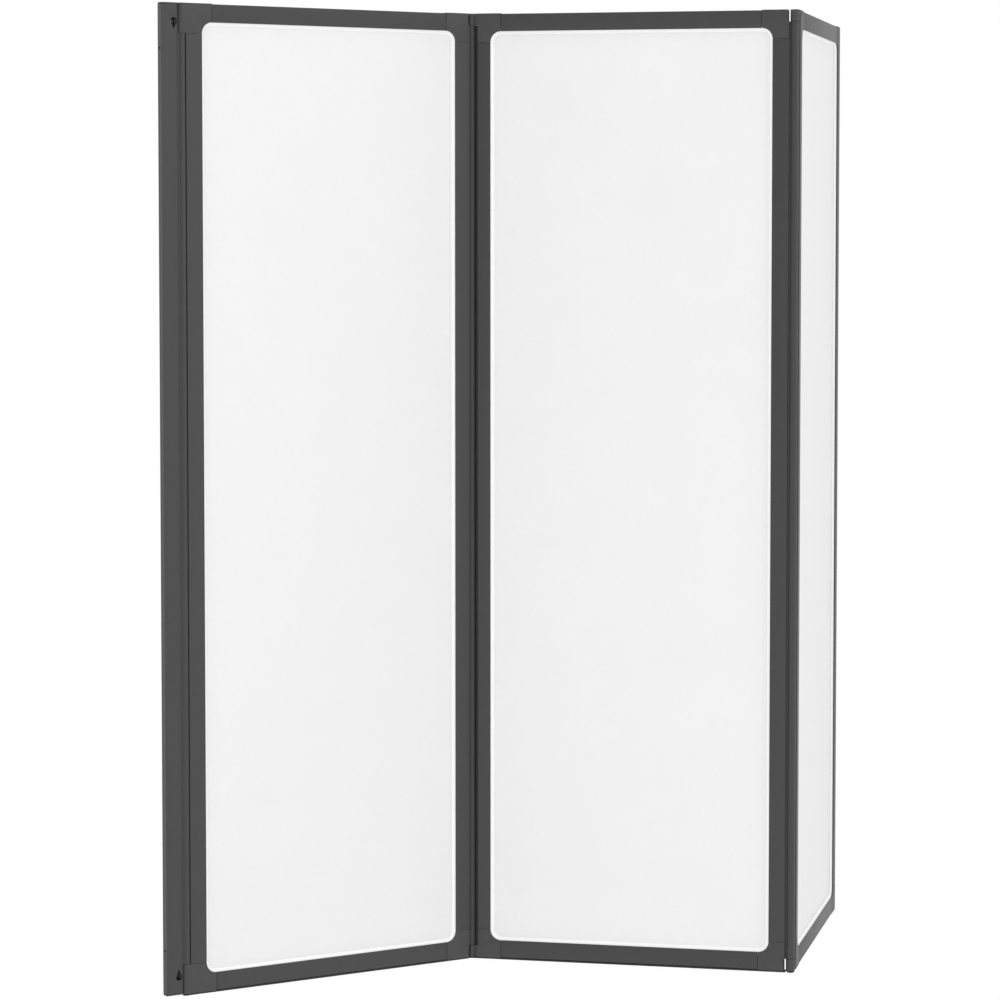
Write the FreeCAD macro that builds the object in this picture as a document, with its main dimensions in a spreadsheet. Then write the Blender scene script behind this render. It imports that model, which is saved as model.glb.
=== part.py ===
import FreeCAD, Part
import math
import os
import Sketcher
from FreeCAD import Placement, Rotation, Vector

# Folding bath screen: three framed panels hinged to each other and to a wall profile.
# Frame of the part: the wall is the plane x = 0, +x leads away from it along the first panel,
# +y leads to the back of the screen and z = 0 is the underside of the wall profile.

# Driving dimensions in millimetres and degrees, kept in the sheet below.
DIMENSIONS = {
    # Overall
    "frame_height": 1207.5,  # underside to top of the moulded corner pieces
    "panel_pitch": 413.0,  # hinge axis to hinge axis across one panel
    "wall_to_axis": 28.8,  # wall face to the first hinge axis
    "frame_thickness": 11.4,
    "first_fold_angle": 45.0,  # second panel, turned towards the front
    "second_fold_angle": 90.0,  # third panel, turned towards the back
    # Margins from the hinge axes to the visible sheet
    "left_margin": 25.7,
    "right_margin": 27.3,
    "end_margin": 27.5,  # from the visible sheet to the free end of the third panel
    # Aluminium profiles
    "rail_height": 22.0,
    "profile_wall": 1.5,
    "groove_depth": 8.0,  # lip edge to the floor of the sheet groove
    "shoulder_radius": 1.0,
    "right_edge": 6.6,  # right stile's edge to the next hinge axis
    "left_edge": 8.8,  # hinge axis to the left stile's edge
    "wall_left_edge": 6.2,  # the same at the wall hinge
    # Hinges, whose knuckles and wall bead are as thick as the frame
    "bead_radius": 5.3,
    "bead_clearance": 0.35,  # round a bead, to the pieces that it doesn't touch
    "bead_neck": 6.0,  # thickness of the web that carries a panel's bead
    "knuckle_height": 14.4,
    "knuckle_slit": 2.4,  # knuckle to the notch of the neighbouring corner piece
    "knuckle_groove": 2.0,  # width of the groove beside the knuckle
    "groove_recess": 2.6,  # depth of that groove
    "end_play": 0.3,  # knuckle to the end of the bead tube
    "pin_radius": 1.6,
    "pin_running_fit": 0.05,
    "pin_seat_fit": 0.02,
    "pin_cover": 1.4,  # material beyond the end of a pin's seat
    "pin_engagement": 25.0,
    "pin_chamfer": 0.4,
    # Corner pieces
    "corner_radius": 13.5,
    "corner_proud": 0.65,  # corner piece above the rail's outer edge
    "seam_gap": 0.25,  # corner pieces to the stiles
    "rail_seam": 0.5,  # corner pieces to the rails
    "spigot_length": 25.0,
    "spigot_clearance": 0.15,
    # Glazing
    "sheet_thickness": 3.0,
    "sheet_hold": 7.0,  # sheet edge behind the lip edge
    "gasket_hold": 2.5,
    "gasket_lip": 4.0,  # sloping lip seen on the sheet
    "gasket_edge": 0.5,  # thickness where the lip ends on the sheet
    # Seals
    "seal_drop": 2.5,
    "seal_width": 9.0,
    "seal_pad": 5.4,  # radius of the seal's round start under a knuckle
    "seal_foot": 6.4,
    "seal_bevel": 1.7,
    "stem_thickness": 2.2,
    "stem_clearance": 0.2,
    "barb_thickness": 4.2,
    "barb_height": 1.8,
    "seal_end_gap": 0.6,  # end of a bottom seal to the next seal's round start
    "fin_thickness": 2.8,  # upright seal between a bead and the next stile
    # Wall profile
    "post_thickness": 10.0,
    "post_wall": 1.0,
    "post_floor": 19.4,  # wall face to the floor of the post's cavity
    "post_neck": 7.0,  # thickness behind the wall hinge's bead
    "neck_slope": 3.5,  # length of the slope down to that thickness
    "channel_wall": 1.0,
    "channel_base": 1.5,
    "channel_depth": 19.0,
    "slide_clearance": 0.1,
    "block_cap": 2.0,
    "block_plug": 10.0,  # how far an end block reaches into the channel
    "plug_clearance": 0.15,
    "wall_hole_radius": 1.8,
    "wall_hole_inset": 55.0,  # end of the wall profile to the wall hole
    # Clamp screws behind the keyholes
    "keyhole_radius": 4.7,
    "keyhole_from_wall": 16.6,
    "keyhole_inset": 22.6,
    "keyhole_depth": 3.5,
    "tail_width": 4.8,  # where it leaves the keyhole's circle
    "tail_tip": 1.8,
    "tail_reach": 8.0,
    "screw_radius": 1.5,
    "screw_fit": 0.05,
    "screw_head_radius": 2.6,
    "screw_head_height": 1.6,
    "screw_end_gap": 0.1,
    "recess_width": 0.8,
    "recess_length": 3.4,
    "recess_depth": 1.0,
}


def as_size(item):
    """Return a plain number as a Size, and a Size as it is."""
    if isinstance(item, Size):
        return item
    return Size(float(item), f"({float(item)})")


class Size:
    """A length that carries its number and the sheet formula that it comes from."""

    def __init__(self, value, formula):
        self.value = value
        self.formula = formula

    def __add__(self, other):
        other = as_size(other)
        return Size(self.value + other.value, f"({self.formula} + {other.formula})")

    def __sub__(self, other):
        other = as_size(other)
        return Size(self.value - other.value, f"({self.formula} - {other.formula})")

    def __mul__(self, other):
        other = as_size(other)
        return Size(self.value * other.value, f"({self.formula} * {other.formula})")

    def __truediv__(self, other):
        other = as_size(other)
        return Size(self.value / other.value, f"({self.formula} / {other.formula})")

    def __neg__(self):
        return self * -1

    def root(self):
        return Size(math.sqrt(self.value), f"sqrt({self.formula})")


doc = FreeCAD.newDocument("bath_screen")
sheet = doc.addObject("Spreadsheet::Sheet", "Sizes")
for row, (name, value) in enumerate(DIMENSIONS.items(), start=1):
    sheet.set(f"A{row}", name)
    sheet.set(f"B{row}", str(value))
    sheet.setAlias(f"B{row}", name)
doc.recompute()


def cell(name):
    """Return one driving dimension of the sheet."""
    return Size(float(sheet.get(name)), f"Sizes.{name}")


# Sizes that several pieces share
height = cell("frame_height")
pitch = cell("panel_pitch")
half = cell("frame_thickness") / 2
wall = cell("profile_wall")
inner = half - wall
groove = cell("groove_depth")
rail = cell("rail_height")
radius = cell("corner_radius")
seam = cell("seam_gap")
knuckle = cell("knuckle_height")
bead = cell("bead_radius")
around = cell("bead_clearance")
play = cell("end_play")
half_sheet = cell("sheet_thickness") / 2
left_lip = cell("left_margin")
lip_gap = pitch - cell("left_margin") - cell("right_margin")
right_lip = left_lip + lip_gap
low_lip = cell("corner_proud") + rail
high_lip = height - low_lip
corner = low_lip + radius  # height of a corner piece
third_end = right_lip + cell("end_margin")
notch_wall = half + cell("knuckle_slit")
zero = as_size(0)

PANELS = (1, 2, 3)
NODES = []


def panel_placements():
    """Return each panel's placement, with its origin on its left hinge axis."""
    first = Vector(cell("wall_to_axis").value, 0, 0)
    turns = [0.0, -cell("first_fold_angle").value]
    turns.append(turns[1] + cell("second_fold_angle").value)
    places = []
    for turn in turns:
        place = Placement(first, Rotation(Vector(0, 0, 1), turn))
        places.append(place)
        first = place.multVec(Vector(pitch.value, 0, 0))
    return dict(zip(PANELS, places))


PLACES = panel_placements()


def new_body(label, panel=None):
    """Start a named piece, in its panel's frame or in the wall's."""
    body = doc.addObject("PartDesign::Body", label)
    body.Label = label
    if panel:
        body.Placement = PLACES[panel]
    return body


def new_sketch(body, name, role, lift=zero):
    """Start a sketch on one of the body's own planes, lifted along that plane's normal."""
    sketch = body.newObject("Sketcher::SketchObject", f"{body.Label}_{name}")
    plane = next(item for item in body.Origin.OriginFeatures if item.Role == role)
    sketch.AttachmentSupport = (plane, "")
    sketch.MapMode = "FlatFace"
    sketch.AttachmentOffset = Placement(Vector(0, 0, lift.value), Rotation())
    sketch.setExpression("AttachmentOffset.Base.z", lift.formula)
    return sketch


def hold(sketch, kind, geometry, spot, size):
    """Tie one coordinate of a sketch point to its formula."""
    size = as_size(size)
    index = sketch.addConstraint(Sketcher.Constraint(kind, -1, 1, geometry, spot, size.value))
    sketch.setExpression(f"Constraints[{index}]", size.formula)


def hold_radius(sketch, geometry, size):
    """Tie a circle's or arc's radius to its formula."""
    index = sketch.addConstraint(Sketcher.Constraint("Radius", geometry, size.value))
    sketch.setExpression(f"Constraints[{index}]", size.formula)


def arc_between(start, end, size, turn):
    """Return the arc of this radius from start to end, to the left for turn 1, else to the right."""
    chord = end - start
    rise = math.sqrt(size ** 2 - chord.Length ** 2 / 4)
    side = Vector(-chord.y, chord.x, 0).normalize() * (rise * turn)
    centre = (start + end) / 2 + side
    first, last = (start, end) if turn > 0 else (end, start)
    angles = [math.atan2(point.y - centre.y, point.x - centre.x) for point in (first, last)]
    return Part.ArcOfCircle(Part.Circle(centre, Vector(0, 0, 1), size), *angles)


def outline(sketch, corners):
    """Draw a closed outline. A corner is (x, y), with a radius and turn where an arc starts."""
    corners = [tuple(as_size(item) for item in spot[:2]) + tuple(spot[2:]) for spot in corners]
    points = [Vector(spot[0].value, spot[1].value, 0) for spot in corners]
    edges = []
    for spot, start, end in zip(corners, points, points[1:] + points[:1]):
        if len(spot) == 2:
            shape = Part.LineSegment(start, end)
            ends = (1, 2)
        else:
            shape = arc_between(start, end, spot[2].value, spot[3])
            ends = (1, 2) if spot[3] > 0 else (2, 1)
        edges.append((sketch.addGeometry(shape, False), ends))
    for (edge, ends), (following, next_ends) in zip(edges, edges[1:] + edges[:1]):
        sketch.addConstraint(Sketcher.Constraint("Coincident", edge, ends[1], following, next_ends[0]))
    for (edge, ends), spot in zip(edges, corners):
        hold(sketch, "DistanceX", edge, ends[0], spot[0])
        hold(sketch, "DistanceY", edge, ends[0], spot[1])
        if len(spot) > 2:
            hold_radius(sketch, edge, spot[2])


def rectangle(sketch, low_x, low_y, high_x, high_y):
    """Draw an upright rectangle."""
    outline(sketch, [(low_x, low_y), (high_x, low_y), (high_x, high_y), (low_x, high_y)])


def circle(sketch, x, y, size):
    """Draw a circle."""
    x = as_size(x)
    y = as_size(y)
    ring = Part.Circle(Vector(x.value, y.value, 0), Vector(0, 0, 1), size.value)
    index = sketch.addGeometry(ring, False)
    hold(sketch, "DistanceX", index, 3, x)
    hold(sketch, "DistanceY", index, 3, y)
    hold_radius(sketch, index, size)


def rounded(sketch, grow):
    """Draw the sheet opening with its round corners, grown outwards by a distance."""
    size = radius + grow
    low_x, high_x = left_lip - grow, right_lip + grow
    low_z, high_z = low_lip - grow, high_lip + grow
    outline(sketch, [
        (low_x + size, low_z), (high_x - size, low_z, size, 1),
        (high_x, low_z + size), (high_x, high_z - size, size, 1),
        (high_x - size, high_z), (low_x + size, high_z, size, 1),
        (low_x, high_z - size), (low_x, low_z + size, size, 1)])


def pad(body, sketch, length):
    """Raise a sketch along its plane's normal."""
    feature = body.newObject("PartDesign::Pad", f"{sketch.Name}_pad")
    feature.Profile = sketch
    feature.Length = length.value
    feature.setExpression("Length", length.formula)
    doc.recompute()
    return feature


def cut(body, sketch, depth, upwards=False):
    """Cut a sketch into the body, against its plane's normal or along it, and prove that it cut."""
    before = body.Shape.Volume
    feature = body.newObject("PartDesign::Pocket", f"{sketch.Name}_cut")
    feature.Profile = sketch
    feature.Reversed = upwards
    feature.Length = depth.value
    feature.setExpression("Length", depth.formula)
    doc.recompute()
    if body.Shape.Volume > before * (1 - 1e-9):
        raise RuntimeError(f"{sketch.Name} cut nothing")
    return feature


def profile(sketch, spot, width, turn):
    """Draw a glazing profile: two lips beside the sheet groove, then a chamber with round shoulders.

    spot turns a distance outwards from the lip edge and one across the thickness into a point,
    and turn is the way round that these points then run.
    """
    bend = cell("shoulder_radius")
    outline(sketch, [
        spot(zero, -half), spot(width - bend, -half) + (bend, turn), spot(width, bend - half),
        spot(width, half - bend) + (bend, turn), spot(width - bend, half), spot(zero, half),
        spot(zero, inner), spot(groove, inner), spot(groove, -inner), spot(zero, -inner)])
    near, far = groove + wall, width - wall
    outline(sketch, [spot(near, -inner), spot(far, -inner), spot(far, inner), spot(near, inner)])


def slotted_profile(sketch, spot, width, turn):
    """Draw the same profile with its chamber open along a slot for a seal's stem."""
    slot = cell("stem_thickness") / 2 + cell("stem_clearance")
    bend = cell("shoulder_radius")
    near, far = groove + wall, width - wall
    outline(sketch, [
        spot(zero, -half), spot(width - bend, -half) + (bend, turn), spot(width, bend - half),
        spot(width, -slot), spot(far, -slot), spot(far, -inner), spot(near, -inner),
        spot(near, inner), spot(far, inner), spot(far, slot), spot(width, slot),
        spot(width, half - bend) + (bend, turn), spot(width - bend, half), spot(zero, half),
        spot(zero, inner), spot(groove, inner), spot(groove, -inner), spot(zero, -inner)])


def add_bead(body, axis, size, low, high):
    """Add the round hinge bead and the bore for the pins."""
    sketch = new_sketch(body, "bead", "XY_Plane", low)
    circle(sketch, axis, 0, size)
    pad(body, sketch, high - low)
    sketch = new_sketch(body, "bore", "XY_Plane", high)
    circle(sketch, axis, 0, cell("pin_radius") + cell("pin_running_fit"))
    cut(body, sketch, high - low)


def left_edge_of(panel):
    """Return where a panel's left stile starts, from its hinge axis."""
    return cell("wall_left_edge") if panel == 1 else cell("left_edge")


def right_width_of(panel):
    """Return the width of a panel's right stile, without its bead or rounded nose."""
    if panel == 3:
        return cell("end_margin") - half
    return cell("right_margin") - cell("right_edge")


def left_stile(panel):
    """Make the left stile: a glazing profile, with a slot for the fin seal where it has one."""
    body = new_body(f"left_stile_{panel}", panel)
    low, high = corner + seam, height - corner - seam
    sketch = new_sketch(body, "section", "XY_Plane", low)
    width = left_lip - left_edge_of(panel)

    def spot(out, across):
        return left_lip - out, across

    if panel == 1:
        profile(sketch, spot, width, -1)
        pad(body, sketch, high - low)
        add_cove(body, low, high)
    else:
        slotted_profile(sketch, spot, width, -1)
        pad(body, sketch, high - low)
    NODES.append(body)


def add_cove(body, low, high):
    """Add the hollow edge round the wall hinge's bead, with lips that just clear the post's neck."""
    lip = cell("post_neck") / 2 + around
    hollow = half + around
    rise = (hollow * hollow - lip * lip).root()
    root = cell("wall_left_edge") + cell("shoulder_radius")
    sketch = new_sketch(body, "cove", "XY_Plane", low)
    outline(sketch, [
        (root, -half), (root, half), (lip, half), (lip, rise, hollow, -1), (lip, -rise), (lip, -half)])
    pad(body, sketch, high - low)


def right_stile(panel):
    """Make the right stile, which ends in a hinge bead or in the free end's rounded nose."""
    body = new_body(f"right_stile_{panel}", panel)
    low, high = corner + seam, height - corner - seam
    width = right_width_of(panel)
    sketch = new_sketch(body, "section", "XY_Plane", low)
    profile(sketch, lambda out, across: (right_lip + out, across), width, 1)
    pad(body, sketch, high - low)
    if panel == 3:
        add_nose(body, low, high)
    else:
        neck = cell("bead_neck") / 2
        edge = pitch - cell("right_edge")
        tube_low, tube_high = knuckle + play, height - knuckle - play
        for name, start, foot, head in (
                ("neck", edge - wall / 2, low, high), ("long_neck", edge + around, tube_low, tube_high)):
            sketch = new_sketch(body, name, "XY_Plane", foot)
            rectangle(sketch, start, -neck, pitch, neck)
            pad(body, sketch, head - foot)
        add_bead(body, pitch, bead, tube_low, tube_high)
    NODES.append(body)


def add_nose(body, low, high):
    """Add the half-round nose of the third panel's free end."""
    start = third_end - half
    root = start - cell("shoulder_radius")
    sketch = new_sketch(body, "nose", "XY_Plane", low)
    outline(sketch, [
        (root, -half), (start, -half, half, 1), (third_end, zero, half, 1), (start, half), (root, half)])
    pad(body, sketch, high - low)


def rails(panel):
    """Make the top rail, and the bottom rail with its slot for the seal."""
    start = left_lip + radius + cell("rail_seam")
    end = right_lip - radius - cell("rail_seam")
    top = new_body(f"top_rail_{panel}", panel)
    sketch = new_sketch(top, "section", "YZ_Plane", start)
    profile(sketch, lambda out, across: (across, high_lip + out), rail, -1)
    pad(top, sketch, end - start)
    bottom = new_body(f"bottom_rail_{panel}", panel)
    sketch = new_sketch(bottom, "section", "YZ_Plane", start)
    slotted_profile(sketch, lambda out, across: (across, low_lip - out), rail, 1)
    pad(bottom, sketch, end - start)
    NODES.extend([top, bottom])


def corner_piece(panel, side, level):
    """Make one moulded corner piece; side is -1 for left and 1 for right, level -1 for bottom."""
    words = {-1: "bottom", 1: "top"}[level], {-1: "left", 1: "right"}[side]
    body = new_body(f"corner_{words[0]}_{words[1]}_{panel}", panel)
    lip_x = left_lip if side < 0 else right_lip
    lip_z = low_lip if level < 0 else high_lip
    width = left_lip - left_edge_of(panel) if side < 0 else right_width_of(panel)

    def spot(out, up, *arc):
        return (lip_x + out * side, lip_z + up * level) + arc

    hinged = side > 0 and panel < 3
    notch = low_lip - knuckle - play
    outer = [spot(width, low_lip)]
    if hinged:
        step = cell("right_margin") - notch_wall
        outer = [spot(step, low_lip), spot(step, notch), spot(width, notch)]
    sketch = new_sketch(body, "outline", "XZ_Plane", -half)
    outline(sketch, [
        spot(zero, -radius, radius, side * level), spot(-radius, zero),
        spot(-radius, low_lip), *outer, spot(width, -radius)])
    plate = pad(body, sketch, half * 2)
    if not (side > 0 and panel == 3):
        round_shoulders(body, plate, lip_x + width * side)

    sketch = new_sketch(body, "groove", "XZ_Plane", inner)
    outline(sketch, [
        spot(groove, -radius, radius + groove, side * level), spot(-radius, groove),
        spot(-radius, -radius)])
    cut(body, sketch, inner * 2)

    gap = cell("spigot_clearance")
    overlap = wall
    reach = radius + cell("spigot_length")
    near = groove + wall + gap
    cheek = inner - gap
    sketch = new_sketch(body, "stile_spigot", "XZ_Plane", -cheek)
    far = width - wall - gap
    outline(sketch, [
        spot(near, overlap - radius), spot(far, overlap - radius), spot(far, -reach), spot(near, -reach)])
    pad(body, sketch, cheek * 2)
    sketch = new_sketch(body, "rail_spigot", "XZ_Plane", -cheek)
    far = rail - wall - gap
    outline(sketch, [
        spot(overlap - radius, near), spot(overlap - radius, far), spot(-reach, far), spot(-reach, near)])
    pad(body, sketch, cheek * 2)

    low = zero if level < 0 else height - corner
    if side < 0:
        add_knuckle(body, panel, level)
    if side > 0 and panel == 3:
        add_nose(body, low, low + corner)
    NODES.append(body)


def round_shoulders(body, plate, edge_x):
    """Round the two upright edges that carry on from the stile's shoulders."""
    names = []
    for number, edge in enumerate(plate.Shape.Edges, start=1):
        ends = [vertex.Point for vertex in edge.Vertexes]
        if all(abs(end.x - edge_x.value) < 1e-6 for end in ends) and abs(ends[0].y - ends[1].y) < 1e-6:
            names.append(f"Edge{number}")
    feature = body.newObject("PartDesign::Fillet", f"{body.Label}_shoulders")
    feature.Base = (plate, names)
    feature.Radius = cell("shoulder_radius").value
    feature.setExpression("Radius", cell("shoulder_radius").formula)
    doc.recompute()


def knuckle_of(panel):
    """Return the height of the knuckles on a panel's left side."""
    return corner if panel == 1 else knuckle


def add_knuckle(body, panel, level):
    """Add the knuckle over the hinge axis, with its blind seat for the pin."""
    at_wall = panel == 1
    tall = knuckle_of(panel)
    low = zero if level < 0 else height - tall
    sketch = new_sketch(body, "knuckle", "XY_Plane", low)
    circle(sketch, 0, 0, half)
    pad(body, sketch, tall)
    root = left_edge_of(panel) + cell("shoulder_radius")
    cheek_start = zero
    if not at_wall:
        neck = half - cell("groove_recess")
        cheek_start = half + cell("knuckle_groove")
        sketch = new_sketch(body, "neck", "XY_Plane", low)
        rectangle(sketch, zero, -neck, root, neck)
        pad(body, sketch, tall)
    sketch = new_sketch(body, "cheek", "XY_Plane", low)
    rectangle(sketch, cheek_start, -half, root, half)
    pad(body, sketch, tall)
    mouth = tall if level < 0 else height - tall
    sketch = new_sketch(body, "pin_seat", "XY_Plane", mouth)
    circle(sketch, 0, 0, cell("pin_radius") + cell("pin_seat_fit"))
    cut(body, sketch, tall - cell("pin_cover"), upwards=level > 0)


def hinge_pin(panel, level):
    """Turn one hinge pin: seated in the knuckle, running in the neighbour's bead."""
    body = new_body(f"hinge_pin_{'bottom' if level < 0 else 'top'}_{panel}", panel)
    low = cell("pin_cover")
    length = knuckle_of(panel) - low + play + cell("pin_engagement")
    if level > 0:
        low = height - low - length
    high = low + length
    size = cell("pin_radius")
    chamfer = cell("pin_chamfer")
    sketch = new_sketch(body, "half_section", "XZ_Plane")
    outline(sketch, [
        (zero, low), (size - chamfer, low), (size, low + chamfer),
        (size, high - chamfer), (size - chamfer, high), (zero, high)])
    turn_about(body, sketch, "V_Axis")
    NODES.append(body)


def turn_about(body, sketch, axis):
    """Turn a half section once round an axis of its sketch."""
    feature = body.newObject("PartDesign::Revolution", f"{sketch.Name}_turn")
    feature.Profile = sketch
    feature.ReferenceAxis = (sketch, [axis])
    feature.Angle = 360
    doc.recompute()


def glazing(panel):
    """Make the sheet and the two gaskets that hold it in the groove."""
    body = new_body(f"sheet_{panel}", panel)
    sketch = new_sketch(body, "outline", "XZ_Plane", -half_sheet)
    rounded(sketch, cell("sheet_hold"))
    pad(body, sketch, half_sheet * 2)
    NODES.append(body)
    thick = inner - half_sheet
    for name, face in (("front", 1), ("back", -1)):
        body = new_body(f"{name}_gasket_{panel}", panel)
        base = half_sheet if face > 0 else -inner
        sketch = new_sketch(body, "outline", "XZ_Plane", base)
        rounded(sketch, cell("gasket_hold"))
        pad(body, sketch, thick)
        slope(body, face)
        sketch = new_sketch(body, "window", "XZ_Plane", inner * face)
        rounded(sketch, -cell("gasket_lip"))
        cut(body, sketch, thick, upwards=face < 0)
        NODES.append(body)


def slope(body, face):
    """Cut the gasket's lip to a slope, from the frame's lip edge down to the sheet."""
    before = body.Shape.Volume
    wide = new_sketch(body, "slope_wide", "XZ_Plane", inner * face)
    rounded(wide, zero)
    narrow = new_sketch(body, "slope_narrow", "XZ_Plane", (half_sheet + cell("gasket_edge")) * face)
    rounded(narrow, -cell("gasket_lip"))
    feature = body.newObject("PartDesign::SubtractiveLoft", f"{body.Label}_slope")
    feature.Profile = wide
    feature.Sections = [narrow]
    feature.Ruled = True
    doc.recompute()
    if body.Shape.Volume > before * (1 - 1e-9):
        raise RuntimeError(f"{body.Label} has no slope")


def bottom_seal(panel):
    """Make the soft seal under a panel, with a barbed stem in the bottom rail's slot."""
    body = new_body(f"bottom_seal_{panel}", panel)
    round_edge = cell("seal_pad")
    end = third_end - half if panel == 3 else pitch - round_edge - cell("seal_end_gap")
    side, foot = cell("seal_width") / 2, cell("seal_foot") / 2
    drop, bevel = cell("seal_drop"), cell("seal_bevel")
    sketch = new_sketch(body, "strip", "YZ_Plane")
    outline(sketch, [
        (-side, zero), (-side, bevel - drop), (-foot, -drop),
        (foot, -drop), (side, bevel - drop), (side, zero)])
    pad(body, sketch, end)
    sketch = new_sketch(body, "round_start", "YZ_Plane")
    round_foot = round_edge - side + foot
    outline(sketch, [
        (zero, zero), (round_edge, zero), (round_edge, bevel - drop), (round_foot, -drop), (zero, -drop)])
    turn_about(body, sketch, "V_Axis")
    start = left_lip + radius + cell("spigot_length") + seam
    stop = right_lip - radius - cell("spigot_length") - seam
    stem, barb = cell("stem_thickness") / 2, cell("barb_thickness") / 2
    ledge = cell("corner_proud") + wall + cell("stem_clearance")
    tip = ledge + cell("barb_height")
    sketch = new_sketch(body, "stem", "YZ_Plane", start)
    sunk = -drop / 2
    outline(sketch, [
        (-stem, sunk), (stem, sunk), (stem, ledge), (barb, ledge),
        (stem, tip), (-stem, tip), (-barb, ledge), (-stem, ledge)])
    pad(body, sketch, stop - start)
    NODES.append(body)


def fin_seal(panel):
    """Make the upright seal that closes the gap between the neighbour's bead and the left stile."""
    body = new_body(f"fin_seal_{panel}", panel)
    edge = left_edge_of(panel)
    hollow = bead + around
    rise = cell("fin_thickness") / 2
    reach = (hollow * hollow - rise * rise).root()
    low, high = knuckle + play, height - knuckle - play
    sketch = new_sketch(body, "fin", "XY_Plane", low)
    outline(sketch, [(edge, -rise), (edge, rise), (reach, rise, hollow, -1), (reach, -rise)])
    pad(body, sketch, high - low)
    start = corner + cell("spigot_length") + seam
    stem, barb = cell("stem_thickness") / 2, cell("barb_thickness") / 2
    ledge = edge + wall + cell("stem_clearance")
    tip = ledge + cell("barb_height")
    sketch = new_sketch(body, "stem", "XY_Plane", start)
    outline(sketch, [
        (edge - wall, -stem), (ledge, -stem), (ledge, -barb), (tip, -stem),
        (tip, stem), (ledge, barb), (ledge, stem), (edge - wall, stem)])
    pad(body, sketch, height - start * 2)
    NODES.append(body)


def wall_channel():
    """Make the channel that is screwed to the wall, with its holes and the clamp screws' places."""
    body = new_body("wall_channel")
    web = channel_inside()
    side = web + cell("channel_wall")
    depth, base = cell("channel_depth"), cell("channel_base")
    low = cell("block_cap") + seam
    high = height - low
    sketch = new_sketch(body, "section", "XY_Plane", low)
    outline(sketch, [
        (zero, -side), (depth, -side), (depth, -web), (base, -web),
        (base, web), (depth, web), (depth, side), (zero, side)])
    pad(body, sketch, high - low)
    sketch = new_sketch(body, "wall_holes", "YZ_Plane", base)
    for level in (cell("wall_hole_inset"), height - cell("wall_hole_inset")):
        circle(sketch, 0, level, cell("wall_hole_radius"))
    cut(body, sketch, base)
    inset, across = cell("keyhole_inset"), cell("keyhole_from_wall")
    size = cell("keyhole_radius")
    reach = inset + size + cell("tail_reach")
    relief = new_sketch(body, "driver_relief", "XZ_Plane", side)
    rectangle(relief, across - size, low - seam, depth + seam, reach)
    rectangle(relief, across - size, height - reach, depth + seam, high + seam)
    cut(body, relief, cell("channel_wall"))
    sketch = new_sketch(body, "screw_holes", "XZ_Plane", -web)
    for level in (inset, height - inset):
        circle(sketch, across, level, cell("screw_radius") + cell("screw_fit"))
    cut(body, sketch, cell("channel_wall"))
    NODES.append(body)


def hinge_post():
    """Make the post that slides over the channel and carries the wall hinge's bead."""
    body = new_body("hinge_post")
    side, neck = cell("post_thickness") / 2, cell("post_neck") / 2
    hollow = side - cell("post_wall")
    axis, floor = cell("wall_to_axis"), cell("post_floor")
    front = axis - half - around
    bend = front - cell("neck_slope")
    low = cell("block_cap") + seam
    high = height - low
    sketch = new_sketch(body, "section", "XY_Plane", low)
    outline(sketch, [
        (zero, -side), (bend, -side), (front, -neck), (axis, -neck), (axis, neck), (front, neck),
        (bend, side), (zero, side), (zero, hollow), (floor, hollow), (floor, -hollow), (zero, -hollow)])
    pad(body, sketch, high - low)
    add_bead(body, axis, half, low, high)
    sketch = new_sketch(body, "knuckle_space", "XZ_Plane", half)
    end = axis + half + around
    rectangle(sketch, front, zero, end, corner + play)
    rectangle(sketch, front, height - corner - play, end, height)
    cut(body, sketch, half * 2)
    for level in (-1, 1):
        add_keyhole(body, level)
    NODES.append(body)


def add_keyhole(body, level):
    """Cut a keyhole into the post's front, and the hole for its clamp screw into the back."""
    side = cell("post_thickness") / 2

    def from_end(distance):
        return distance if level < 0 else height - distance

    across, inset = cell("keyhole_from_wall"), cell("keyhole_inset")
    sketch = new_sketch(body, "keyhole", "XZ_Plane", side)
    circle(sketch, across, from_end(inset), cell("keyhole_radius"))
    cut(body, sketch, cell("keyhole_depth"))
    tail, tip = cell("tail_width") / 2, cell("tail_tip") / 2
    start, end = from_end(inset), from_end(inset + cell("tail_reach"))
    sketch = new_sketch(body, "keyhole_tail", "XZ_Plane", side)
    outline(sketch, [
        (across - tail, start), (across + tail, start), (across + tip, end), (across - tip, end)])
    cut(body, sketch, cell("keyhole_depth"))
    sketch = new_sketch(body, "thread", "XZ_Plane", cell("post_wall") - side)
    circle(sketch, across, from_end(inset), cell("screw_radius") + cell("screw_fit"))
    cut(body, sketch, cell("post_wall"))


def end_block(level):
    """Make a moulded end block: a cap on the post's end, with a plug in the channel."""
    body = new_body(f"end_block_{'bottom' if level < 0 else 'top'}")
    side, cap = cell("post_thickness") / 2, cell("block_cap")
    sketch = new_sketch(body, "cap", "XY_Plane", zero if level < 0 else height - cap)
    rectangle(sketch, zero, -side, cell("wall_to_axis") - half - around, side)
    pad(body, sketch, cap)
    gap = cell("plug_clearance")
    plug = channel_inside() - gap
    tall = cap + cell("block_plug")
    sketch = new_sketch(body, "plug", "XY_Plane", zero if level < 0 else height - tall)
    rectangle(sketch, cell("channel_base") + gap, -plug, cell("channel_depth"), plug)
    pad(body, sketch, tall)
    NODES.append(body)


def channel_inside():
    """Return half the free width between the channel's flanges."""
    outer = cell("post_thickness") / 2 - cell("post_wall") - cell("slide_clearance")
    return outer - cell("channel_wall")


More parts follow.
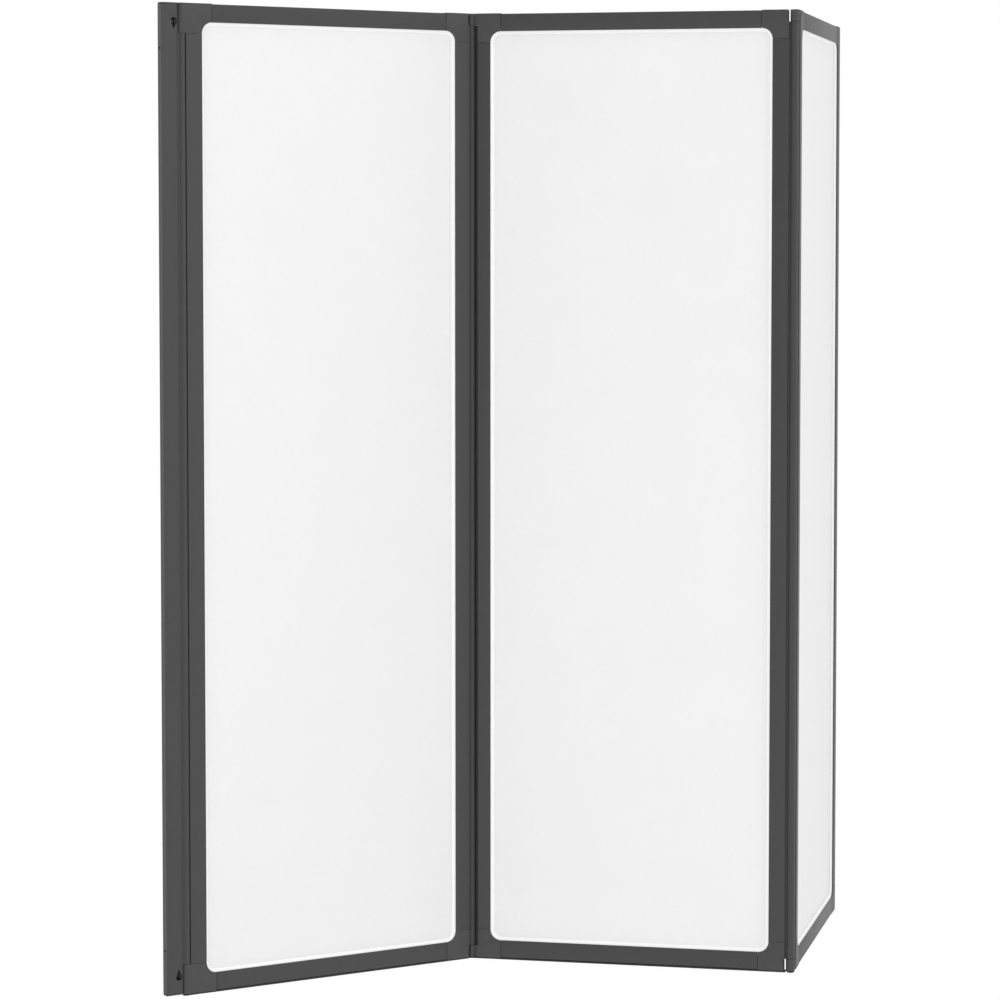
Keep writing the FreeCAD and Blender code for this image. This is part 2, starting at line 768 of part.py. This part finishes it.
def clamp_screws():
    """Make the two clamp screws as one group, each with a cross recess in its head."""
    screws = []
    side = cell("post_thickness") / 2
    seat = channel_inside()
    tip = side - cell("screw_end_gap")
    top = seat - cell("screw_head_height")
    shank, head = cell("screw_radius"), cell("screw_head_radius")
    crown = cell("pin_chamfer")
    for level in (cell("keyhole_inset"), height - cell("keyhole_inset")):
        body = doc.addObject("PartDesign::Body", f"clamp_screw_{len(screws) + 1}")
        body.Placement = Placement(
            Vector(cell("keyhole_from_wall").value, 0, level.value), Rotation(Vector(1, 0, 0), -90))
        sketch = new_sketch(body, "half_section", "XZ_Plane")
        outline(sketch, [
            (zero, top), (head - crown, top), (head, top + crown), (head, seat),
            (shank, seat), (shank, tip), (zero, tip)])
        turn_about(body, sketch, "V_Axis")
        sketch = new_sketch(body, "recess", "XY_Plane", top)
        wide, long = cell("recess_width") / 2, cell("recess_length") / 2
        outline(sketch, [
            (-long, -wide), (-wide, -wide), (-wide, -long), (wide, -long), (wide, -wide), (long, -wide),
            (long, wide), (wide, wide), (wide, long), (-wide, long), (-wide, wide), (-long, wide)])
        cut(body, sketch, cell("recess_depth"), upwards=True)
        screws.append(body)
    group = doc.addObject("Part::Compound", "clamp_screws")
    group.Label = "clamp_screws"
    group.Links = screws
    NODES.append(group)


def write_parts():
    """Check every object of the document, then write each piece to its own file."""
    doc.recompute()
    for item in doc.Objects:
        if "Invalid" in item.State or "Error" in item.State:
            raise RuntimeError(f"{item.Label} failed: {item.State}")
    for node in NODES:
        if node.Shape.isNull() or not node.Shape.isValid():
            raise RuntimeError(f"{node.Label} has no valid shape")
    os.makedirs("parts", exist_ok=True)
    for node in NODES:
        node.Shape.exportStep(f"parts/{node.Label}.step")
    print(f"{len(NODES)} pieces written")


wall_channel()
hinge_post()
for level in (-1, 1):
    end_block(level)
clamp_screws()
for panel in PANELS:
    left_stile(panel)
    right_stile(panel)
    rails(panel)
    for level in (-1, 1):
        for side in (-1, 1):
            corner_piece(panel, side, level)
        hinge_pin(panel, level)
    glazing(panel)
    bottom_seal(panel)
    if panel > 1:
        fin_seal(panel)
write_parts()
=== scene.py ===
"""Looks of a folding bath screen: opal sheets in dark aluminium frames on a wall profile."""

import logging
import math
from dataclasses import dataclass, field
from enum import Enum

import bpy
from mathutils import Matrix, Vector


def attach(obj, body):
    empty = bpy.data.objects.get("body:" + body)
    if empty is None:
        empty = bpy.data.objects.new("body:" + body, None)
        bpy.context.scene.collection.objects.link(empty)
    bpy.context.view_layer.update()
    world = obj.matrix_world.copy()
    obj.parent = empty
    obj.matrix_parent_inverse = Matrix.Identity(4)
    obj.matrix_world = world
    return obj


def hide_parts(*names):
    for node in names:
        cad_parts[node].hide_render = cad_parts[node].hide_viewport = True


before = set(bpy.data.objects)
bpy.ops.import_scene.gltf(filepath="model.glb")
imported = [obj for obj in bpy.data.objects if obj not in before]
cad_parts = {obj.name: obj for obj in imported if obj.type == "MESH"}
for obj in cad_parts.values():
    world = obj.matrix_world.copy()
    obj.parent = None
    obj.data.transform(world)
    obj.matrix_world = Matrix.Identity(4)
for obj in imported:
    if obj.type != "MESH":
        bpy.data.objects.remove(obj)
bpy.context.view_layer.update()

LOG = logging.getLogger("bath_screen")
MM_PER_METRE = 1000.0
MM = 1.0 / MM_PER_METRE
WHITE = (1.0, 1.0, 1.0, 1.0)

# Patterns of the finishes. The ranges are where a noise, and the product of two, mostly lie.
GRAIN_DETAIL = 3.0
GRAIN_ROUGHNESS = 0.6
DRIFT_DETAIL = 2.0
DRIFT_RANGE = (0.3, 0.7)
BLEND_RANGE = (0.12, 0.4)
BUMP_STRENGTH = 0.35
# How far light spreads inside a cloudy material.
LIGHT_SPREAD = (3.0 * MM, 3.0 * MM, 3.0 * MM)


def linear(colour: str) -> tuple[float, float, float, float]:
    """Turn an sRGB hex colour into linear values.

    Args:
        colour: Six hex digits after a hash sign.

    Returns:
        Red, green, blue and alpha.
    """
    parts = [int(colour[place:place + 2], 16) / 255 for place in (1, 3, 5)]
    bent = [part / 12.92 if part <= 0.04045 else ((part + 0.055) / 1.055) ** 2.4 for part in parts]
    return (bent[0], bent[1], bent[2], 1.0)


def per_mm(size: float) -> float:
    """Return the texture scale at which one grain is this many millimetres wide."""
    return MM_PER_METRE / size


def add_node(
    tree: bpy.types.NodeTree,
    kind: str,
    settings: dict[str | int, object] | None = None,
    links: dict[str | int, bpy.types.NodeSocket] | None = None,
) -> bpy.types.Node:
    """Add one shader node.

    A Mix node's inputs share their names, so they go by number: 0 is the factor, 2 and 3 are the plain
    values and 6 and 7 the colours. Its outputs are 0 for the value and 2 for the colour.

    Args:
        tree: Node tree of the material or world.
        kind: Blender's name of the node type.
        settings: Values by the input's name or number, or by property where there is no such input.
        links: Sockets to join, by the input's name or number.

    Returns:
        The new node.
    """
    node = tree.nodes.new(kind)
    for name, value in (settings or {}).items():
        if isinstance(name, int) or name in node.inputs:
            node.inputs[name].default_value = value
        else:
            setattr(node, name, value)
    for name, socket in (links or {}).items():
        tree.links.new(socket, node.inputs[name])
    return node


@dataclass(frozen=True)
class Finish:
    """A material with two close colours, a fine grain and a slow unevenness.

    The grain and the unevenness are real widths in millimetres. The depth is how far the grain
    stands out, also in millimetres.
    """

    name: str
    colour: str
    second_colour: str
    roughness: tuple[float, float]
    grain_mm: float
    drift_mm: float
    depth_mm: float
    ior: float = 1.5
    metallic: float = 0.0
    subsurface: float = 0.0

    def build(self) -> bpy.types.Material:
        """Make the material.

        Returns:
            A material whose colour, roughness and bump come from its nodes.
        """
        material = bpy.data.materials.new(self.name)
        material.use_nodes = True
        tree = material.node_tree
        tree.nodes.clear()
        place = add_node(tree, "ShaderNodeTexCoord")
        fine = add_node(
            tree, "ShaderNodeTexNoise",
            {"Scale": per_mm(self.grain_mm), "Detail": GRAIN_DETAIL, "Roughness": GRAIN_ROUGHNESS},
            {"Vector": place.outputs["Object"]})
        slow = add_node(
            tree, "ShaderNodeTexNoise",
            {"Scale": per_mm(self.drift_mm), "Detail": DRIFT_DETAIL}, {"Vector": place.outputs["Object"]})
        blend = add_node(
            tree, "ShaderNodeMath", {"operation": "MULTIPLY"},
            {0: fine.outputs["Fac"], 1: slow.outputs["Fac"]})
        spread = add_node(
            tree, "ShaderNodeMapRange",
            {"From Min": BLEND_RANGE[0], "From Max": BLEND_RANGE[1]}, {"Value": blend.outputs["Value"]})
        tint = add_node(
            tree, "ShaderNodeMix",
            {"data_type": "RGBA", 6: linear(self.colour), 7: linear(self.second_colour)},
            {0: spread.outputs["Result"]})
        rough = add_node(
            tree, "ShaderNodeMapRange",
            {"From Min": DRIFT_RANGE[0], "From Max": DRIFT_RANGE[1],
             "To Min": self.roughness[0], "To Max": self.roughness[1]},
            {"Value": slow.outputs["Fac"]})
        bump = add_node(
            tree, "ShaderNodeBump", {"Strength": BUMP_STRENGTH, "Distance": self.depth_mm * MM},
            {"Height": fine.outputs["Fac"]})
        shader = add_node(
            tree, "ShaderNodeBsdfPrincipled",
            {"Metallic": self.metallic, "IOR": self.ior, "Subsurface Weight": self.subsurface,
             "Subsurface Radius": LIGHT_SPREAD},
            {"Base Color": tint.outputs[2], "Roughness": rough.outputs["Result"],
             "Normal": bump.outputs["Normal"]})
        add_node(tree, "ShaderNodeOutputMaterial", None, {"Surface": shader.outputs["BSDF"]})
        return material


# Extruded aluminium with a satin powder coat: a dark even grey with a fine orange peel. The peel of
# about 0.4 mm is drawn twice as coarse, so that it shows.
POWDER_COAT = Finish(
    "anthracite_powder_coat", "#3A3A3A", "#3D3D3E", (0.47, 0.5), grain_mm=0.8, drift_mm=14.0, depth_mm=0.003)
# Glass-filled nylon from a spark-eroded mould: a little paler than the coat, and duller. The mould's
# grain of about 0.3 mm is drawn three times as coarse, so that it shows.
MOULDED_NYLON = Finish(
    "anthracite_moulded_nylon", "#3C3C3C", "#404041", (0.5, 0.56), grain_mm=0.9, drift_mm=9.0, depth_mm=0.008,
    ior=1.53)
# Opal polystyrene sheet: white pigment all through, a satin rolled surface with slow unevenness.
OPAL_SHEET = Finish(
    "opal_polystyrene_sheet", "#EEEEEE", "#F0F0F0", (0.42, 0.5), grain_mm=6.0, drift_mm=70.0, depth_mm=0.02,
    ior=1.59, subsurface=0.1)
# White thermoplastic glazing gasket: satin, with a faint grain from the die. The grain of about 0.3 mm
# is drawn four times as coarse, so that it shows.
WHITE_GASKET = Finish(
    "white_gasket_elastomer", "#FCFCFC", "#F9F9F9", (0.42, 0.55), grain_mm=1.2, drift_mm=12.0, depth_mm=0.03,
    ior=1.52)
# Extruded black rubber seal: dull and nearly black. Its grain of about 0.3 mm is drawn three times as
# coarse, so that it shows.
BLACK_SEAL = Finish(
    "black_seal_rubber", "#1E1E1E", "#262626", (0.6, 0.75), grain_mm=0.9, drift_mm=10.0, depth_mm=0.06,
    ior=1.52)
# Zinc on steel under a dark passivation: grey metal with a soft, slightly cloudy gloss.
DARK_ZINC = Finish(
    "dark_zinc_steel", "#6E6D6A", "#5F5E5B", (0.3, 0.42), grain_mm=0.5, drift_mm=2.0, depth_mm=0.02,
    metallic=1.0)


class Edge(Enum):
    """How far an edge is rounded in each way of making a piece, in millimetres."""

    EXTRUDED = 0.3
    MOULDED = 0.55
    SOFT = 0.25
    TURNED = 0.15


@dataclass
class Dresser:
    """Makes the shown copy of a CAD piece, with its edges rounded and its finish on.

    Points closer than merge_mm become one, and faces that meet flatter than flat_angle become one. Edges
    from sharp_angle on are rounded in bevel_steps steps, and edges up to smooth_angle are shaded smooth.
    Angles are in degrees.
    """

    merge_mm: float = 0.002
    flat_angle: float = 0.4
    sharp_angle: float = 35.0
    bevel_steps: int = 3
    smooth_angle: float = 40.0
    materials: dict[str, bpy.types.Material] = field(default_factory=dict)

    def material(self, finish: Finish) -> bpy.types.Material:
        """Return the finish's material, made the first time that it is asked for."""
        if finish.name not in self.materials:
            self.materials[finish.name] = finish.build()
        return self.materials[finish.name]

    def copy_piece(self, node: str) -> bpy.types.Object:
        """Copy one CAD piece, and join its loose triangles into whole faces.

        Args:
            node: Name of the CAD piece.

        Returns:
            The copy, selected and active.
        """
        bpy.ops.object.select_all(action="DESELECT")
        piece = bpy.data.objects.new(f"{node}_dressed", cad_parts[node].data.copy())
        bpy.context.scene.collection.objects.link(piece)
        piece.select_set(True)
        bpy.context.view_layer.objects.active = piece
        bpy.ops.object.mode_set(mode="EDIT")
        bpy.ops.mesh.select_all(action="SELECT")
        bpy.ops.mesh.remove_doubles(threshold=self.merge_mm * MM)
        bpy.ops.mesh.dissolve_limited(angle_limit=math.radians(self.flat_angle))
        bpy.ops.object.mode_set(mode="OBJECT")
        return piece

    def round_edges(self, piece: bpy.types.Object, edge: Edge) -> None:
        """Round the sharp edges of a piece, and shade it smooth.

        Args:
            piece: The piece, selected and active.
            edge: How its edges are rounded.
        """
        bevel = piece.modifiers.new("rounded_edges", "BEVEL")
        bevel.width = edge.value * MM
        bevel.segments = self.bevel_steps
        bevel.limit_method = "ANGLE"
        bevel.angle_limit = math.radians(self.sharp_angle)
        bevel.use_clamp_overlap = True
        bpy.ops.object.modifier_apply(modifier=bevel.name)
        bpy.ops.object.shade_smooth_by_angle(angle=math.radians(self.smooth_angle))

    def dress(self, node: str, body: str, slot: str, finish: Finish, edge: Edge) -> None:
        """Round a copy of one CAD piece, and show it in place of that piece.

        Args:
            node: Name of the CAD piece.
            body: Body that it moves with.
            slot: Material slot; not used.
            finish: Finish of its surface.
            edge: How its edges are rounded.
        """
        piece = self.copy_piece(node)
        self.round_edges(piece, edge)
        piece.data.materials.clear()
        piece.data.materials.append(self.material(finish))
        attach(piece, body)
        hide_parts(node)
        LOG.info("%s: %d faces, %s", piece.name, len(piece.data.polygons), finish.name)


@dataclass
class WallProfile:
    """The fixed profile on the wall: channel, hinge post, end blocks and clamp screws."""

    dresser: Dresser
    body: str = "wall_profile"

    def build(self) -> None:
        """Dress every piece of the wall profile."""
        dress = self.dresser.dress
        dress("wall_channel", self.body, "frame_paint", POWDER_COAT, Edge.EXTRUDED)
        dress("hinge_post", self.body, "frame_paint", POWDER_COAT, Edge.EXTRUDED)
        for end in ("top", "bottom"):
            dress(f"end_block_{end}", self.body, "moulding", MOULDED_NYLON, Edge.MOULDED)
        dress("clamp_screws", self.body, "steel", DARK_ZINC, Edge.TURNED)


@dataclass
class FramedPanel:
    """One panel: stiles, rails, corner pieces, sheet, gaskets, seals and hinge pins."""

    number: int
    dresser: Dresser

    @property
    def body(self) -> str:
        """Return the name of the body that the panel moves with."""
        return f"panel_{self.number}"

    def build(self) -> None:
        """Dress every piece of the panel."""
        self.dress_frame()
        self.dress_glazing()
        self.dress_hinge()

    def dress_frame(self) -> None:
        """Dress the stiles, rails and corner pieces."""
        for name in ("left_stile", "right_stile", "top_rail", "bottom_rail"):
            self.show(name, "frame_paint", POWDER_COAT, Edge.EXTRUDED)
        for end in ("top", "bottom"):
            for side in ("left", "right"):
                self.show(f"corner_{end}_{side}", "moulding", MOULDED_NYLON, Edge.MOULDED)

    def dress_glazing(self) -> None:
        """Dress the sheet and its gaskets."""
        self.show("sheet", "opal_sheet", OPAL_SHEET, Edge.EXTRUDED)
        for face in ("front", "back"):
            self.show(f"{face}_gasket", "white_gasket", WHITE_GASKET, Edge.SOFT)

    def dress_hinge(self) -> None:
        """Dress the seals and the hinge pins. The first panel has no fin seal."""
        self.show("bottom_seal", "dark_seal", BLACK_SEAL, Edge.SOFT)
        if self.number > 1:
            self.show("fin_seal", "dark_seal", BLACK_SEAL, Edge.SOFT)
        for end in ("top", "bottom"):
            self.show(f"hinge_pin_{end}", "steel", DARK_ZINC, Edge.TURNED)

    def show(self, name: str, slot: str, finish: Finish, edge: Edge) -> None:
        """Dress one piece of this panel."""
        self.dresser.dress(f"{name}_{self.number}", self.body, slot, finish, edge)


@dataclass(frozen=True)
class Lamp:
    """A soft square lamp, with its place and side in metres and its power in watts."""

    name: str
    place: tuple[float, float, float]
    side: float
    power: float
    in_gloss: bool = True


KEY_LAMP = Lamp("key", (2.6, -4.2, 3.4), 3.0, 20.0)
# The fill only lifts the shade on the camera's side, so that gloss doesn't show it.
FILL_LAMP = Lamp("fill", (-3.0, -3.6, 0.7), 2.4, 28.0, in_gloss=False)


@dataclass
class Studio:
    """Floor, world, lamps and camera, in metres and degrees, with the lens and sensor in millimetres.

    The screen hangs on a wall over the rim of a bath, so the floor lies well below it. Over shade_reach,
    measured from the screen, the floor turns from its own shade, with near_white of white in it, to
    plain white. Over grey_spread, the cosine to grey_side, what gloss shows turns from white to grey_light.
    """

    floor_level: float = -0.55
    floor_span: float = 80.0
    floor_colour: str = "#F2F2F2"
    shade_reach: tuple[float, float] = (1.0, 2.4)
    near_white: float = 0.35
    room_light: float = 0.94
    grey_side: tuple[float, float, float] = (-0.85, -0.53, 0.0)
    grey_spread: tuple[float, float] = (0.3, 0.9)
    grey_light: float = 0.45
    lamp_aim: tuple[float, float, float] = (0.5, -0.1, 0.6)
    camera_place: tuple[float, float, float] = (-1.92292, -3.78765, 0.93953)
    camera_turn: float = -32.4424
    camera_tilt: float = 3.5059
    lens: float = 126.03
    sensor: float = 36.0
    shift: float = -0.06
    view_reach: float = 200.0

    def build(self) -> None:
        """Set up everything that is round the object."""
        bpy.context.scene.view_settings.view_transform = "Standard"
        self.lay_floor()
        self.light_world()
        for lamp in (KEY_LAMP, FILL_LAMP):
            self.hang_lamp(lamp)
        self.place_camera()

    def lay_floor(self) -> None:
        """Lay the pale floor, which keeps the object's shadow and is white further out."""
        bpy.ops.object.select_all(action="DESELECT")
        bpy.ops.mesh.primitive_plane_add(size=self.floor_span, location=(0, 0, self.floor_level))
        floor = bpy.context.active_object
        floor.name = "studio_floor"
        material = bpy.data.materials.new("pale_floor")
        material.use_nodes = True
        tree = material.node_tree
        tree.nodes.clear()
        rays = add_node(tree, "ShaderNodeLightPath")
        glow = add_node(tree, "ShaderNodeEmission", {"Color": WHITE, "Strength": 1.0})
        matt = add_node(tree, "ShaderNodeBsdfDiffuse", {"Color": linear(self.floor_colour)})
        mirrored = add_node(
            tree, "ShaderNodeMath", {"operation": "MAXIMUM"},
            {0: rays.outputs["Is Glossy Ray"], 1: rays.outputs["Is Transmission Ray"]})
        seen = add_node(
            tree, "ShaderNodeMath", {"operation": "MAXIMUM"},
            {0: rays.outputs["Is Camera Ray"], 1: mirrored.outputs["Value"]})
        place = add_node(tree, "ShaderNodeTexCoord")
        away = add_node(tree, "ShaderNodeVectorMath", {"operation": "LENGTH"}, {0: place.outputs["Object"]})
        fade = add_node(
            tree, "ShaderNodeMapRange",
            {"interpolation_type": "SMOOTHSTEP",
             "From Min": self.shade_reach[0], "From Max": self.shade_reach[1],
             "To Min": self.near_white, "To Max": 1.0},
            {"Value": away.outputs["Value"]})
        share = add_node(
            tree, "ShaderNodeMath", {"operation": "MULTIPLY"},
            {0: seen.outputs["Value"], 1: fade.outputs["Result"]})
        mix = add_node(
            tree, "ShaderNodeMixShader", None,
            {0: share.outputs["Value"], 1: matt.outputs["BSDF"], 2: glow.outputs["Emission"]})
        add_node(tree, "ShaderNodeOutputMaterial", None, {"Surface": mix.outputs["Shader"]})
        floor.data.materials.append(material)

    def light_world(self) -> None:
        """Give the room a white background and an even, plain light.

        What gloss shows is the same white, but greyer on the left, where the room behind the camera is.
        """
        world = bpy.data.worlds.new("white_room")
        bpy.context.scene.world = world
        world.use_nodes = True
        tree = world.node_tree
        tree.nodes.clear()
        rays = add_node(tree, "ShaderNodeLightPath")
        place = add_node(tree, "ShaderNodeTexCoord")
        side = add_node(
            tree, "ShaderNodeVectorMath", {"operation": "DOT_PRODUCT", 1: self.grey_side},
            {0: place.outputs["Generated"]})
        gloss = add_node(
            tree, "ShaderNodeMapRange",
            {"interpolation_type": "SMOOTHSTEP",
             "From Min": self.grey_spread[0], "From Max": self.grey_spread[1],
             "To Min": 1.0, "To Max": self.grey_light},
            {"Value": side.outputs["Value"]})
        plain = add_node(
            tree, "ShaderNodeMix", {"data_type": "FLOAT", 2: self.room_light},
            {0: rays.outputs["Is Glossy Ray"], 3: gloss.outputs["Result"]})
        seen = add_node(
            tree, "ShaderNodeMath", {"operation": "MAXIMUM"},
            {0: rays.outputs["Is Camera Ray"], 1: rays.outputs["Is Transmission Ray"]})
        strength = add_node(
            tree, "ShaderNodeMix", {"data_type": "FLOAT", 3: 1.0},
            {0: seen.outputs["Value"], 2: plain.outputs[0]})
        light = add_node(
            tree, "ShaderNodeBackground", {"Color": WHITE}, {"Strength": strength.outputs[0]})
        add_node(tree, "ShaderNodeOutputWorld", None, {"Surface": light.outputs["Background"]})

    def hang_lamp(self, lamp: Lamp) -> None:
        """Hang one lamp so that it faces the middle of the screen.

        Args:
            lamp: The lamp to hang.
        """
        data = bpy.data.lights.new(lamp.name, "AREA")
        data.shape = "SQUARE"
        data.size = lamp.side
        data.energy = lamp.power
        holder = bpy.data.objects.new(lamp.name, data)
        bpy.context.scene.collection.objects.link(holder)
        holder.location = lamp.place
        aim = Vector(self.lamp_aim) - Vector(lamp.place)
        holder.rotation_euler = aim.to_track_quat("-Z", "Y").to_euler()
        holder.visible_glossy = lamp.in_gloss

    def place_camera(self) -> None:
        """Set the camera where the photo was taken from."""
        data = bpy.data.cameras.new("camera")
        data.lens = self.lens
        data.sensor_width = self.sensor
        data.shift_y = self.shift
        data.clip_end = self.view_reach
        camera = bpy.data.objects.new("camera", data)
        bpy.context.scene.collection.objects.link(camera)
        camera.location = self.camera_place
        camera.rotation_euler = (math.radians(90 - self.camera_tilt), 0.0, math.radians(self.camera_turn))
        bpy.context.scene.camera = camera


def main() -> None:
    """Build the screen, then the studio round it."""
    logging.basicConfig(level=logging.INFO, format="%(message)s")
    dresser = Dresser()
    WallProfile(dresser).build()
    for number in (1, 2, 3):
        FramedPanel(number, dresser).build()
    Studio().build()


if __name__ == "__main__":
    main()
